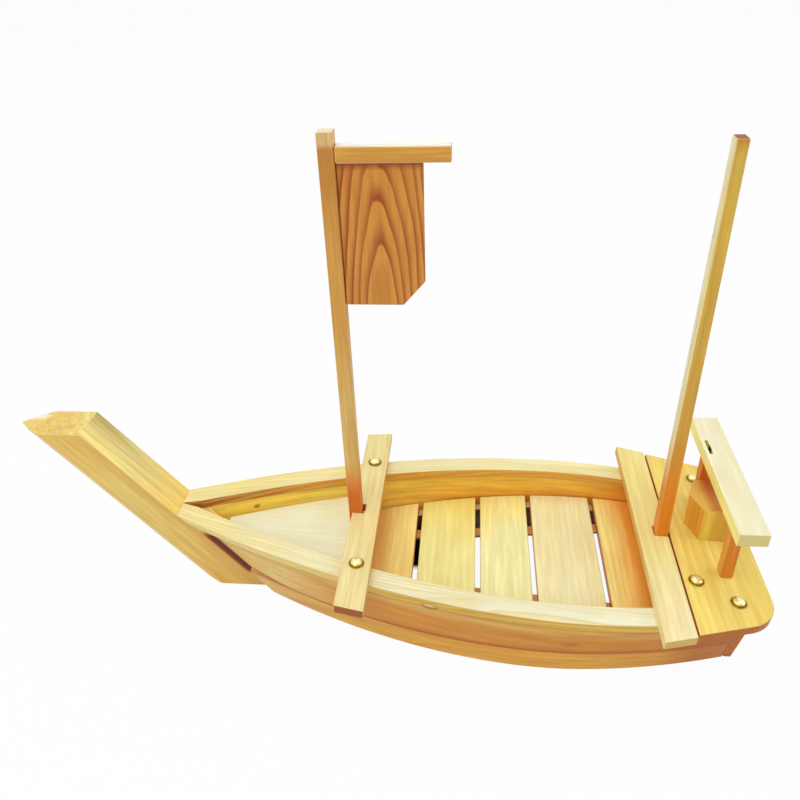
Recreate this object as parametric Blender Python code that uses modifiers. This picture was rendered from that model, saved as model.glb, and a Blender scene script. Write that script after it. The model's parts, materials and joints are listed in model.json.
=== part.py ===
"""A wooden sushi boat: an open hull with a slatted floor, two lift-out masts and a flag board.

Units are metres, +Z is up, +X runs from the bow to the stern and -Y is the port side. The origin is on the
table, midway between the tip of the stem and the rear edge of the stern deck. A station is a distance aft of
the stem's tip, and an inset is a distance forward of the stern deck's rear edge.
"""

import math

import bmesh
import bpy
from mathutils import Vector

# Overall length and fits
LENGTH = 0.554
FIT_GAP = 0.0003
SEAM_GAP = 0.0004
EDGE_EASE = 0.0006
HULL_SECTIONS = 30

# Stem post, raked forward with a pointed front and a heel behind it below the caps
STEM_HEIGHT = 0.150
STEM_WIDTH = 0.0318
STEM_NOSE = 0.0205
STEM_NOSE_BULGE = 0.0014
STEM_DEPTH = 0.053
STEM_HEEL = 0.0125
STEM_RAKE = math.radians(38.0)

# Hull lines: the rail plane falls towards the stern and the sides flare outwards
RAIL_HEIGHT = 0.0566
SHEER_ANGLE = math.radians(3.3)
RAIL_WIDEST_INSET = 0.1384
RAIL_BEAM = 0.184
BOTTOM_WIDEST_INSET = 0.1464
BOTTOM_BEAM = 0.171
FULLNESS = 1.85
TRANSOM_TOP_WIDTH = 0.156
TRANSOM_BOTTOM_WIDTH = 0.1346
TRANSOM_INSET = 0.018
TRANSOM_THICKNESS = 0.006
TRANSOM_RAKE = math.radians(3.5)

# Side planks and gunwale caps
LOWER_PLANK_HEIGHT = 0.022
LOWER_PLANK_THICKNESS = 0.020
UPPER_PLANK_THICKNESS = 0.015
LAP_STEP = 0.002
BOW_GAP_PORT = 0.0045
BOW_GAP_STARBOARD = 0.0006
BOW_TUCK = 0.0075
BOW_TUCK_LENGTH = 0.095
CAP_THICKNESS = 0.008
CAP_WIDTH = 0.017

# Foredeck panel and its bearer
FOREDECK_DROP = 0.0185
FOREDECK_THICKNESS = 0.008
FOREDECK_TIP_WIDTH = 0.004
FOREDECK_BEARER_WIDTH = 0.008
FOREDECK_SETBACK = 0.0078
WALL_GAP = 0.0005

# Floor slats, their slots and battens
SLAT_THICKNESS = 0.008
SLOT_WIDTH = 0.0042
SLOT_SHARES = (0.1836, 0.3862, 0.5645, 0.7857)
FLOOR_LEAD = 0.0050
FLOOR_TAIL = 0.0054
BATTEN_WIDTH = 0.0095
BATTEN_THICKNESS = 0.003
BATTEN_FRONT_INSET = 0.0128
BATTEN_AFT_INSET = 0.0089

# Crossbeams and stern deck, all on the rail plane
BEAM_THICKNESS = 0.0075
FRONT_BEAM_STATION = 0.2507
FRONT_BEAM_WIDTH = 0.0212
FRONT_BEAM_LENGTH = 0.2008
FRONT_BEAM_AFT_LENGTH = 0.208
REAR_BEAM_WIDTH = 0.0229
REAR_BEAM_LENGTH = 0.2172
REAR_BEAM_AFT_LENGTH = 0.204
DECK_JOINT = 0.0012
DECK_LENGTH = 0.0582
DECK_FRONT_WIDTH = 0.2004
DECK_AFT_WIDTH = 0.166
DECK_CORNER_RADIUS = 0.027
DECK_CORNER_STEPS = 10
STERN_BEARER_WIDTH = 0.0138
STERN_BEARER_DEPTH = 0.012

# Masts, yard and flag board
MAST_SECTION = 0.010
MAST_CLEARANCE = 0.0005
MAST_SOCKET_DEPTH = 0.005
NOTCH_SLACK = 0.002
FRONT_MAST_OVERHANG = 0.002
FRONT_MAST_LENGTH = 0.321
REAR_MAST_LENGTH = 0.332
REAR_MAST_TAPER = 0.0026
YARD_LENGTH = 0.0691
YARD_HEIGHT = 0.0098
YARD_BELOW_TOP = 0.0084
FLAG_WIDTH = 0.0523
FLAG_HEIGHT = 0.0930
FLAG_THICKNESS = 0.005
FLAG_CORNER_WIDTH = 0.0143
FLAG_CORNER_HEIGHT = 0.0165

# Stern rack
RACK_INSET = 0.0264
RACK_HEIGHT = 0.063
POST_SECTION = 0.009
POST_SPACING = 0.081
CROSSBAR_LENGTH = 0.137
CROSSBAR_WIDTH = 0.0204
CROSSBAR_OVERHANG = 0.0052
CROSSBAR_THICKNESS = 0.0105
CROSSBAR_SLOT_LENGTH = 0.0172
CROSSBAR_SLOT_WIDTH = 0.0026
CROSSBAR_SLOT_INSET = 0.0040
CROSSBAR_SLOT_OFFSET = 0.028

# Bitt block, which stands to starboard of the centreline
BITT_INSET = 0.0440
BITT_LENGTH = 0.0325
BITT_NOSE = 0.0068
BITT_WIDTH = 0.038
BITT_HEIGHT = 0.028
BITT_OFFSET = 0.0125

# Domed brass tacks
TACK_HEAD = 0.0112
TACK_DOME = 0.003
TACK_RIM = 0.0006
TACK_PIN = 0.002
TACK_LENGTH = 0.0125
TACK_STEPS = 24
TACK_DOME_STEPS = 6
TACK_INSET = 0.0103
BEARER_TACK_PORT = 0.0506
BEARER_TACK_STARBOARD = 0.0465
BEARER_TACK_AFT = 0.0020
DECK_AFT_TACK_INSET = 0.0246

# Values worked out from the sizes above
SHEER_SLOPE = math.tan(SHEER_ANGLE)
STEM_RUN = math.tan(STEM_RAKE)
TRANSOM_RUN = math.tan(TRANSOM_RAKE)
RAIL_WIDEST = LENGTH - RAIL_WIDEST_INSET
BOTTOM_WIDEST = LENGTH - BOTTOM_WIDEST_INSET
TRANSOM_FRONT = LENGTH - TRANSOM_INSET - TRANSOM_THICKNESS
DECK_FRONT = LENGTH - DECK_LENGTH
DECK_TOP = FIT_GAP + BEAM_THICKNESS
DECK_AFT_TACK = LENGTH - DECK_AFT_TACK_INSET
RACK_STATION = LENGTH - RACK_INSET
BITT_STATION = LENGTH - BITT_INSET
STERN_BEARER_MIDDLE = DECK_FRONT + STERN_BEARER_WIDTH / 2
BEARER_TACK_STATION = STERN_BEARER_MIDDLE + BEARER_TACK_AFT
FRONT_BEAM_MIDDLE = FRONT_BEAM_STATION + FRONT_BEAM_WIDTH / 2
FRONT_MAST_STATION = FRONT_BEAM_STATION - FRONT_MAST_OVERHANG + MAST_SECTION / 2
FOREDECK_END = FRONT_BEAM_STATION + FRONT_BEAM_WIDTH - FOREDECK_SETBACK
REAR_BEAM_AFT = DECK_FRONT - DECK_JOINT
REAR_BEAM_STATION = REAR_BEAM_AFT - REAR_BEAM_WIDTH
REAR_MAST_STATION = REAR_BEAM_AFT - MAST_SECTION / 2
FLOOR_START = FRONT_BEAM_STATION + FLOOR_LEAD
FLOOR_END = REAR_BEAM_AFT + FLOOR_TAIL
FLOOR_TOP = LOWER_PLANK_HEIGHT + FIT_GAP + SLAT_THICKNESS


class Level:
    """A level line of the hull: its height at the rail's widest station, and how fast it falls going aft."""

    def __init__(self, height, slope=0.0):
        self.height = height
        self.slope = slope

    def z(self, station):
        return self.height + self.slope * (RAIL_WIDEST - station)

    def bow(self):
        """The station where this level meets the rear face of the raked stem."""
        ahead = self.height + self.slope * RAIL_WIDEST
        return (STEM_DEPTH + STEM_RUN * (STEM_HEIGHT - ahead)) / (1 - STEM_RUN * self.slope)

    def stern(self):
        """The station where this level meets the front face of the raked transom."""
        ahead = self.height + self.slope * RAIL_WIDEST
        return (TRANSOM_FRONT + TRANSOM_RUN * ahead) / (1 + TRANSOM_RUN * self.slope)

    def lowered(self, drop):
        return Level(self.height - drop, self.slope)


RAIL_TOP = Level(RAIL_HEIGHT, SHEER_SLOPE)
KEEL = Level(0.0)
LAP = Level(LOWER_PLANK_HEIGHT)


def edge_half_width(station, widest, beam, ends):
    """Half the width along one edge of the hull, which narrows by a power law from its widest station."""
    bow, stern, stern_width = ends
    end, end_half = (bow, STEM_WIDTH / 2) if station < widest else (stern, stern_width / 2)
    reach = (station - widest) / (end - widest)
    return beam / 2 - (beam / 2 - end_half) * reach**FULLNESS


def hull_half_width(station, z):
    """Half the width of the plain flared hull at a station and a height."""
    top_ends = (RAIL_TOP.bow(), RAIL_TOP.stern(), TRANSOM_TOP_WIDTH)
    bottom_ends = (KEEL.bow(), KEEL.stern(), TRANSOM_BOTTOM_WIDTH)
    top = edge_half_width(station, RAIL_WIDEST, RAIL_BEAM, top_ends)
    bottom = edge_half_width(station, BOTTOM_WIDEST, BOTTOM_BEAM, bottom_ends)
    return bottom + (top - bottom) * z / RAIL_TOP.z(station)


def upper_half_width(station, z):
    """Half the width over the upper planks, which stand proud of the lower ones at the lap."""
    rail = RAIL_TOP.z(station)
    return hull_half_width(station, z) + LAP_STEP * (rail - z) / (rail - LOWER_PLANK_HEIGHT)


def tucked_half_width(station, z):
    """Half the width over the upper planks' own faces, which tuck in under the cap towards the bow."""
    share = max(0, 1 - (station - Level(z).bow()) / BOW_TUCK_LENGTH)
    return upper_half_width(station, z) - BOW_TUCK * share**2


def inside(outer, station, z, thickness):
    """Half the width inside a wall of this thickness, which stops at the seam on the centreline."""
    step = LENGTH / 1000
    slope = (outer(station + step, z) - outer(station - step, z)) / (2 * step)
    return max(outer(station, z) - thickness * math.hypot(1, slope), SEAM_GAP / 2)


def cap_inside(station):
    return inside(hull_half_width, station, RAIL_TOP.z(station), CAP_WIDTH)


def wall_inside(station, z):
    return inside(upper_half_width, station, z, UPPER_PLANK_THICKNESS)


def ledge_inside(station, z):
    return inside(hull_half_width, station, z, LOWER_PLANK_THICKNESS)


def x_at(station):
    return station - LENGTH / 2


def along_rail(station):
    """A station's distance along the tilted rail plane, from the plane's own origin."""
    return (station - RAIL_WIDEST) / math.cos(SHEER_ANGLE)


for old in list(bpy.data.objects):
    bpy.data.objects.remove(old, do_unlink=True)

boat = bpy.data.collections.new("sushi_boat")
bpy.context.scene.collection.children.link(boat)
cutters = bpy.data.collections.new("cutters")
bpy.context.scene.collection.children.link(cutters)

rail_plane = bpy.data.objects.new("rail_plane", None)
rail_plane.location = (x_at(RAIL_WIDEST), 0, RAIL_HEIGHT)
rail_plane.rotation_euler = (0, SHEER_ANGLE, 0)
boat.objects.link(rail_plane)


def make_material(name, colour, roughness, metallic=0.0):
    material = bpy.data.materials.new(name)
    material.use_nodes = True
    shader = material.node_tree.nodes["Principled BSDF"]
    shader.inputs["Base Color"].default_value = (*colour, 1)
    shader.inputs["Roughness"].default_value = roughness
    shader.inputs["Metallic"].default_value = metallic
    return material


PALE_PINE = make_material("pale_pine", (0.86, 0.75, 0.48), 0.55)
GOLDEN_PINE = make_material("golden_pine", (0.80, 0.58, 0.24), 0.55)
SIDE_PINE = make_material("side_pine", (0.70, 0.42, 0.16), 0.55)
MAST_PINE = make_material("mast_pine", (0.68, 0.42, 0.17), 0.55)
FLAG_PINE = make_material("flag_pine", (0.58, 0.28, 0.08), 0.55)
BRASS = make_material("brass", (0.80, 0.64, 0.28), 0.25, 1.0)


def add_part(name, mesh, material, place=(0, 0, 0), parent=None):
    part = bpy.data.objects.new(name, mesh)
    boat.objects.link(part)
    part.location = place
    part.parent = parent
    mesh.materials.append(material)
    return part


def ease_edges(part):
    """Sanded edges."""
    bevel = part.modifiers.new("sanded_edges", "BEVEL")
    bevel.width = EDGE_EASE
    bevel.segments = 1
    bevel.limit_method = "ANGLE"
    return part


def mesh_from(bm, name):
    bmesh.ops.recalc_face_normals(bm, faces=bm.faces)
    mesh = bpy.data.meshes.new(name)
    bm.to_mesh(mesh)
    bm.free()
    return mesh


def box_mesh(name, size, centre=(0, 0, 0)):
    bm = bmesh.new()
    bmesh.ops.create_cube(bm, size=1)
    bmesh.ops.scale(bm, vec=size, verts=bm.verts)
    bmesh.ops.translate(bm, vec=centre, verts=bm.verts)
    return mesh_from(bm, name)


def plate_mesh(name, outline, thickness):
    """A flat board: its outline drawn as a filled 2D curve, with its underside at z = 0."""
    curve = bpy.data.curves.new(name, "CURVE")
    curve.dimensions = "2D"
    curve.fill_mode = "BOTH"
    curve.extrude = thickness / 2
    spline = curve.splines.new("POLY")
    spline.points.add(len(outline) - 1)
    for point, (x, y) in zip(spline.points, outline):
        point.co = (x, y, thickness / 2, 1)
    spline.use_cyclic_u = True
    drawing = bpy.data.objects.new(name, curve)
    boat.objects.link(drawing)
    bpy.context.view_layer.update()
    evaluated = drawing.evaluated_get(bpy.context.evaluated_depsgraph_get())
    rough = bpy.data.meshes.new_from_object(evaluated)
    bpy.data.objects.remove(drawing)
    bm = bmesh.new()
    bm.from_mesh(rough)
    bpy.data.meshes.remove(rough)
    bmesh.ops.remove_doubles(bm, verts=bm.verts, dist=0.00001)
    lift = thickness / 2 - sum(vertex.co.z for vertex in bm.verts) / len(bm.verts)
    bmesh.ops.translate(bm, vec=(0, 0, lift), verts=bm.verts)
    bmesh.ops.dissolve_limit(bm, angle_limit=math.radians(0.1), verts=bm.verts, edges=bm.edges)
    return mesh_from(bm, name)


def loft_mesh(name, sections):
    """A closed solid through a row of sections, each a ring with the same number of points."""
    bm = bmesh.new()
    rings = [[bm.verts.new(point) for point in section] for section in sections]
    for ring, after in zip(rings, rings[1:]):
        for i in range(len(ring)):
            j = (i + 1) % len(ring)
            bm.faces.new((ring[i], ring[j], after[j], after[i]))
    bm.faces.new(rings[0])
    bm.faces.new(rings[-1])
    return mesh_from(bm, name)


def add_cutter(name, mesh, place, parent=None):
    cutter = bpy.data.objects.new(name, mesh)
    cutters.objects.link(cutter)
    cutter.location = place
    cutter.parent = parent
    cutter.hide_render = True
    cutter.display_type = "WIRE"
    return cutter


def cut(part, cutter):
    boolean = part.modifiers.new(cutter.name, "BOOLEAN")
    boolean.operation = "DIFFERENCE"
    boolean.object = cutter


# Stem post: a pentagon pushed up along the rake, with the back of its heel sawn away above the planks
def raked_prism(name, outline, foot, top):
    """An outline at the stem's foot, pushed up along its rake from one height to another."""
    bm = bmesh.new()
    base = bm.faces.new([bm.verts.new((x - foot * STEM_RUN, y, foot)) for x, y in outline])
    pushed = bmesh.ops.extrude_face_region(bm, geom=[base])["geom"]
    upper = [item for item in pushed if isinstance(item, bmesh.types.BMVert)]
    bmesh.ops.translate(bm, vec=((foot - top) * STEM_RUN, 0, top - foot), verts=upper)
    return mesh_from(bm, name)


def make_stem():
    half = STEM_WIDTH / 2
    back = STEM_DEPTH + STEM_HEEL
    slant = math.hypot(STEM_NOSE, half)
    bulge = (STEM_NOSE / 2 - STEM_NOSE_BULGE * half / slant, half / 2 + STEM_NOSE_BULGE * STEM_NOSE / slant)
    port = [(bulge[0], -bulge[1]), (STEM_NOSE, -half), (back, -half)]
    starboard = [(x, -y) for x, y in reversed(port)]
    outline = [(0, 0), *port, *starboard]
    place = (x_at(STEM_HEIGHT * STEM_RUN), 0, 0)
    post_mesh = raked_prism("stem_post", outline, 0, STEM_HEIGHT)
    post = ease_edges(add_part("stem_post", post_mesh, GOLDEN_PINE, place))
    heel_top = RAIL_TOP.z(RAIL_TOP.bow() + 2 * STEM_HEEL) - CAP_THICKNESS - FIT_GAP
    far_back = STEM_DEPTH + 2 * STEM_HEEL
    waste = (
        (STEM_DEPTH, -STEM_WIDTH),
        (far_back, -STEM_WIDTH),
        (far_back, STEM_WIDTH),
        (STEM_DEPTH, STEM_WIDTH),
    )
    waste_mesh = raked_prism("stem_waste", waste, heel_top, STEM_HEIGHT + STEM_WIDTH)
    cut(post, add_cutter("stem_waste", waste_mesh, place))
    return post


# Side planks and caps: four-cornered sections that change shape from the bow to the stern
def wall_sections(corners, side, bow_gap):
    """Sections along one side. Each corner is a level line and the half width that it follows."""
    sections = []
    for i in range(HULL_SECTIONS + 1):
        section = []
        for level, half_width in corners:
            first = level.bow() + bow_gap
            last = level.stern() - FIT_GAP
            station = first + (last - first) * i / HULL_SECTIONS
            z = level.z(station)
            section.append((x_at(station), side * half_width(station, z), z))
        sections.append(section)
    return sections


def make_side(side, name, bow_gap):
    lower_corners = (
        (KEEL, hull_half_width),
        (LAP, hull_half_width),
        (LAP, ledge_inside),
        (KEEL, ledge_inside),
    )
    plank_foot = LAP.lowered(-FIT_GAP)
    plank_top = RAIL_TOP.lowered(CAP_THICKNESS + FIT_GAP)
    upper_corners = (
        (plank_foot, tucked_half_width),
        (plank_top, tucked_half_width),
        (plank_top, wall_inside),
        (plank_foot, wall_inside),
    )
    cap_foot = RAIL_TOP.lowered(CAP_THICKNESS)
    cap_corners = (
        (cap_foot, upper_half_width),
        (RAIL_TOP, upper_half_width),
        (RAIL_TOP, lambda station, z: cap_inside(station)),
        (cap_foot, lambda station, z: cap_inside(station)),
    )
    lower = loft_mesh("lower_plank_" + name, wall_sections(lower_corners, side, STEM_HEEL + FIT_GAP))
    upper = loft_mesh("upper_plank_" + name, wall_sections(upper_corners, side, STEM_HEEL + bow_gap))
    cap = loft_mesh("gunwale_cap_" + name, wall_sections(cap_corners, side, FIT_GAP))
    ease_edges(add_part(lower.name, lower, SIDE_PINE))
    ease_edges(add_part(upper.name, upper, SIDE_PINE))
    return ease_edges(add_part(cap.name, cap, PALE_PINE))


# Transom: a raked board whose sides follow the flare
def make_transom():
    top = RAIL_TOP
    sections = []
    for depth in (0.0, TRANSOM_THICKNESS):
        ring = []
        for level, side in ((KEEL, -1), (KEEL, 1), (top, 1), (top, -1)):
            station = level.stern() + depth
            z = level.z(station)
            ring.append((x_at(station), side * hull_half_width(level.stern(), z), z))
        sections.append(ring)
    return ease_edges(add_part("transom_board", loft_mesh("transom_board", sections), SIDE_PINE))


# Boards laid inside the hull: their ends follow the flared walls, with a narrow gap
def board_between_walls(name, first, last, levels, material):
    steps = max(2, round((last - first) / LENGTH * HULL_SECTIONS * 2))
    rings = []
    for level in levels:
        stations = [first + (last - first) * i / steps for i in range(steps + 1)]
        port = [(x_at(s), WALL_GAP - wall_inside(s, level.z(s)), level.z(s)) for s in stations]
        starboard = [(x, -y, z) for x, y, z in reversed(port)]
        rings.append(port + starboard)
    return ease_edges(add_part(name, loft_mesh(name, rings), material))


def make_foredeck():
    top = RAIL_TOP.lowered(FOREDECK_DROP)
    underside = top.lowered(FOREDECK_THICKNESS)
    step = LENGTH / 1000
    first = underside.bow() + STEM_HEEL + FIT_GAP
    while wall_inside(first, underside.z(first)) - WALL_GAP < FOREDECK_TIP_WIDTH / 2:
        first += step
    panel = board_between_walls("foredeck_panel", first, FOREDECK_END, (underside, top), PALE_PINE)
    bearer_start = FOREDECK_END - FOREDECK_BEARER_WIDTH
    bearer_levels = (Level(FLOOR_TOP + FIT_GAP), underside.lowered(FIT_GAP))
    board_between_walls("foredeck_bearer", bearer_start, FOREDECK_END, bearer_levels, GOLDEN_PINE)
    return panel


def make_floor():
    underside = LAP.lowered(-FIT_GAP)
    top = Level(FLOOR_TOP)
    slots = [FLOOR_START + share * (FLOOR_END - FLOOR_START) for share in SLOT_SHARES]
    starts = [FLOOR_START] + [slot + SLOT_WIDTH / 2 for slot in slots]
    ends = [slot - SLOT_WIDTH / 2 for slot in slots] + [FLOOR_END]
    slats = []
    for number, (start, end) in enumerate(zip(starts, ends), 1):
        slats.append(board_between_walls(f"floor_slat_{number}", start, end, (underside, top), PALE_PINE))
    return slats


def make_battens():
    """Two strips under the slats. They splay aft with the hull, set in from the ledges of its lower planks."""
    foot = LOWER_PLANK_HEIGHT - BATTEN_THICKNESS
    front = ledge_inside(FLOOR_START, foot) - BATTEN_FRONT_INSET
    aft = ledge_inside(FLOOR_END, foot) - BATTEN_AFT_INSET
    run = FLOOR_END - FLOOR_START
    size = (math.hypot(run, aft - front), BATTEN_WIDTH, BATTEN_THICKNESS)
    middle = x_at((FLOOR_START + FLOOR_END) / 2)
    for side, name in ((-1, "floor_batten_port"), (1, "floor_batten_starboard")):
        place = (middle, side * (front + aft) / 2, foot + BATTEN_THICKNESS / 2)
        batten = ease_edges(add_part(name, box_mesh(name, size), GOLDEN_PINE, place))
        batten.rotation_euler = (0, 0, side * math.atan2(aft - front, run))


# Boards on the rail plane, drawn as outlines from their front edge
def tapered_outline(front, width, front_length, aft_length):
    start = along_rail(front)
    end = along_rail(front + width)
    return [
        (start, -front_length / 2),
        (end, -aft_length / 2),
        (end, aft_length / 2),
        (start, front_length / 2),
    ]


def make_beam(name, front, width, front_length, aft_length):
    outline = tapered_outline(front, width, front_length, aft_length)
    mesh = plate_mesh(name, outline, BEAM_THICKNESS)
    return ease_edges(add_part(name, mesh, PALE_PINE, (0, 0, FIT_GAP), rail_plane))


def rounded_corner(corner, before, after, radius):
    """Points of the arc that rounds a corner between two neighbours of an outline."""
    corner, before, after = Vector(corner), Vector(before), Vector(after)
    towards = (before - corner).normalized()
    away = (after - corner).normalized()
    half_angle = towards.angle(away) / 2
    centre = corner + (towards + away).normalized() * radius / math.sin(half_angle)
    start = corner + towards * radius / math.tan(half_angle) - centre
    finish = corner + away * radius / math.tan(half_angle) - centre
    turn = start.angle_signed(finish)
    points = []
    for i in range(DECK_CORNER_STEPS + 1):
        angle = -turn * i / DECK_CORNER_STEPS
        x = start.x * math.cos(angle) - start.y * math.sin(angle)
        y = start.x * math.sin(angle) + start.y * math.cos(angle)
        points.append((centre.x + x, centre.y + y))
    return points


def make_stern_deck():
    corners = tapered_outline(DECK_FRONT, LENGTH - DECK_FRONT, DECK_FRONT_WIDTH, DECK_AFT_WIDTH)
    port = rounded_corner(corners[1], corners[0], corners[2], DECK_CORNER_RADIUS)
    starboard = rounded_corner(corners[2], corners[1], corners[3], DECK_CORNER_RADIUS)
    outline = [corners[0], *port, *starboard, corners[3]]
    mesh = plate_mesh("stern_deck", outline, BEAM_THICKNESS)
    return ease_edges(add_part("stern_deck", mesh, PALE_PINE, (0, 0, FIT_GAP), rail_plane))


def make_stern_bearer():
    """A strip between the two caps that the deck's front tacks go into."""
    narrowest = min(
        cap_inside(DECK_FRONT + STERN_BEARER_WIDTH),
        wall_inside(DECK_FRONT + STERN_BEARER_WIDTH, RAIL_TOP.z(DECK_FRONT) - STERN_BEARER_DEPTH),
    )
    size = (STERN_BEARER_WIDTH, 2 * (narrowest - WALL_GAP), STERN_BEARER_DEPTH)
    place = (along_rail(STERN_BEARER_MIDDLE), 0, -STERN_BEARER_DEPTH / 2)
    mesh = box_mesh("stern_bearer", size)
    return ease_edges(add_part("stern_bearer", mesh, GOLDEN_PINE, place, rail_plane))


# Masts: square poles whose origin is the middle of the foot, on the line they lift along
def mast_mesh(name, length, taper):
    """A square pole whose fore face leans in by a taper at the top."""
    half = MAST_SECTION / 2
    sections = []
    for height, fore in ((0, -half), (length, taper - half)):
        corners = ((fore, -half), (half, -half), (half, half), (fore, half))
        sections.append([(x, y, height) for x, y in corners])
    return loft_mesh(name, sections)


def make_masts():
    front_foot = RAIL_TOP.z(FRONT_MAST_STATION) - FOREDECK_DROP - MAST_SOCKET_DEPTH
    rear_foot = FLOOR_TOP - MAST_SOCKET_DEPTH
    front_mesh = mast_mesh("front_mast", FRONT_MAST_LENGTH, 0)
    rear_mesh = mast_mesh("rear_mast", REAR_MAST_LENGTH, REAR_MAST_TAPER)
    front = add_part("front_mast", front_mesh, MAST_PINE, (x_at(FRONT_MAST_STATION), 0, front_foot))
    rear = add_part("rear_mast", rear_mesh, MAST_PINE, (x_at(REAR_MAST_STATION), 0, rear_foot))
    return ease_edges(front), ease_edges(rear)


def make_flag(mast):
    """A square yard fixed behind the mast, with the board hanging below it."""
    behind = MAST_SECTION / 2 + FIT_GAP
    yard_top = FRONT_MAST_LENGTH - YARD_BELOW_TOP
    yard_size = (YARD_LENGTH, MAST_SECTION, YARD_HEIGHT)
    yard_place = (behind + YARD_LENGTH / 2, 0, yard_top - YARD_HEIGHT / 2)
    ease_edges(add_part("flag_yard", box_mesh("flag_yard", yard_size), MAST_PINE, yard_place, mast))
    outline = (
        (0, 0),
        (0, -FLAG_HEIGHT),
        (FLAG_WIDTH - FLAG_CORNER_WIDTH, -FLAG_HEIGHT),
        (FLAG_WIDTH, FLAG_CORNER_HEIGHT - FLAG_HEIGHT),
        (FLAG_WIDTH, 0),
    )
    place = (behind, FLAG_THICKNESS / 2, yard_top - YARD_HEIGHT - FIT_GAP)
    board = add_part("flag_board", plate_mesh("flag_board", outline, FLAG_THICKNESS), FLAG_PINE, place, mast)
    board.rotation_euler = (math.radians(90), 0, 0)
    return ease_edges(board)


# Stern rack and bitt: they stand upright, with their feet sawn to the slope of the deck
def deck_top_at(station):
    """The height of the deck's upper face, measured straight up at a station."""
    return RAIL_TOP.z(station) + DECK_TOP / math.cos(SHEER_ANGLE)


def make_deck_saw():
    """A block that fills everything below the top of the deck and a fitting gap."""
    size = (LENGTH, 2 * DECK_FRONT_WIDTH, STEM_HEIGHT)
    place = (0, 0, DECK_TOP + FIT_GAP - STEM_HEIGHT / 2)
    return add_cutter("deck_saw", box_mesh("deck_saw", size), place, rail_plane)


def make_rack(saw):
    deck = deck_top_at(RACK_STATION)
    bar_foot = deck + RACK_HEIGHT - CROSSBAR_THICKNESS
    post_top = RACK_HEIGHT - CROSSBAR_THICKNESS - FIT_GAP
    post_size = (POST_SECTION, POST_SECTION, post_top + POST_SECTION)
    post_centre = (0, 0, (post_top - POST_SECTION) / 2)
    for side, name in ((-1, "rack_post_port"), (1, "rack_post_starboard")):
        mesh = box_mesh(name, post_size, post_centre)
        post = add_part(name, mesh, MAST_PINE, (x_at(RACK_STATION), side * POST_SPACING / 2, deck))
        cut(ease_edges(post), saw)
    size = (CROSSBAR_WIDTH, CROSSBAR_LENGTH, CROSSBAR_THICKNESS)
    bar_front = x_at(RACK_STATION) - POST_SECTION / 2 - CROSSBAR_OVERHANG
    place = (bar_front + CROSSBAR_WIDTH / 2, 0, bar_foot + CROSSBAR_THICKNESS / 2)
    bar = ease_edges(add_part("rack_crossbar", box_mesh("rack_crossbar", size), PALE_PINE, place))
    slot_size = (CROSSBAR_SLOT_WIDTH, CROSSBAR_SLOT_LENGTH, 2 * CROSSBAR_THICKNESS)
    slot_place = (bar_front + CROSSBAR_SLOT_INSET, CROSSBAR_SLOT_OFFSET, place[2])
    cut(bar, add_cutter("crossbar_slot", box_mesh("crossbar_slot", slot_size), slot_place))
    return bar


def make_bitt(saw):
    """A five-sided block with its ridge towards the bow."""
    half = BITT_WIDTH / 2
    outline = ((0, 0), (BITT_NOSE, -half), (BITT_LENGTH, -half), (BITT_LENGTH, half), (BITT_NOSE, half))
    below = POST_SECTION
    mesh = plate_mesh("stern_bitt", outline, BITT_HEIGHT + below)
    place = (x_at(BITT_STATION), BITT_OFFSET, deck_top_at(BITT_STATION) - below)
    bitt = ease_edges(add_part("stern_bitt", mesh, GOLDEN_PINE, place))
    cut(bitt, saw)
    return bitt


# Tacks: a domed head on a pin, turned from one profile
def tack_mesh():
    head = TACK_HEAD / 2
    pin = TACK_PIN / 2
    profile = []
    for i in range(TACK_DOME_STEPS + 1):
        angle = math.radians(90) * i / TACK_DOME_STEPS
        profile.append((head * math.sin(angle), TACK_RIM + (TACK_DOME - TACK_RIM) * math.cos(angle)))
    profile += [(head, 0), (pin, 0), (pin, -TACK_LENGTH), (0, -TACK_LENGTH)]
    mesh = bpy.data.meshes.new("tack")
    edges = [(i, i + 1) for i in range(len(profile) - 1)]
    mesh.from_pydata([(x, 0, z) for x, z in profile], edges, [])
    mesh.shade_smooth()
    return mesh


def rod_mesh(name):
    """The drill for a tack's pin, centred on the underside of its head."""
    radius = TACK_PIN / 2 + FIT_GAP
    depth = 2 * (TACK_LENGTH + FIT_GAP)
    bm = bmesh.new()
    bmesh.ops.create_cone(bm, cap_ends=True, segments=TACK_STEPS, radius1=radius, radius2=radius, depth=depth)
    return mesh_from(bm, name)


def rail_tack(station):
    """How far from the centreline a tack goes to stand on the cap."""
    return hull_half_width(station, RAIL_TOP.z(station)) - TACK_INSET


def add_tack(number, mesh, station, y, boards):
    place = (along_rail(station), y, DECK_TOP + FIT_GAP)
    tack = bpy.data.objects.new(f"tack_{number}", mesh)
    boat.objects.link(tack)
    tack.location = place
    tack.parent = rail_plane
    turn = tack.modifiers.new("turned", "SCREW")
    turn.steps = TACK_STEPS
    turn.render_steps = TACK_STEPS
    turn.use_merge_vertices = True
    turn.merge_threshold = 0.00001
    bore = add_cutter(f"tack_hole_{number}", rod_mesh(f"tack_hole_{number}"), place, rail_plane)
    for board in boards:
        cut(board, bore)


make_stem()
port_cap = make_side(-1, "port", BOW_GAP_PORT)
starboard_cap = make_side(1, "starboard", BOW_GAP_STARBOARD)
make_transom()
foredeck = make_foredeck()
floor = make_floor()
make_battens()
front_beam = make_beam(
    "front_crossbeam", FRONT_BEAM_STATION, FRONT_BEAM_WIDTH, FRONT_BEAM_LENGTH, FRONT_BEAM_AFT_LENGTH
)
rear_beam = make_beam(
    "rear_crossbeam", REAR_BEAM_STATION, REAR_BEAM_WIDTH, REAR_BEAM_LENGTH, REAR_BEAM_AFT_LENGTH
)
deck = make_stern_deck()
stern_bearer = make_stern_bearer()
front_mast, rear_mast = make_masts()
make_flag(front_mast)
deck_saw = make_deck_saw()
make_rack(deck_saw)
make_bitt(deck_saw)

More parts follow.
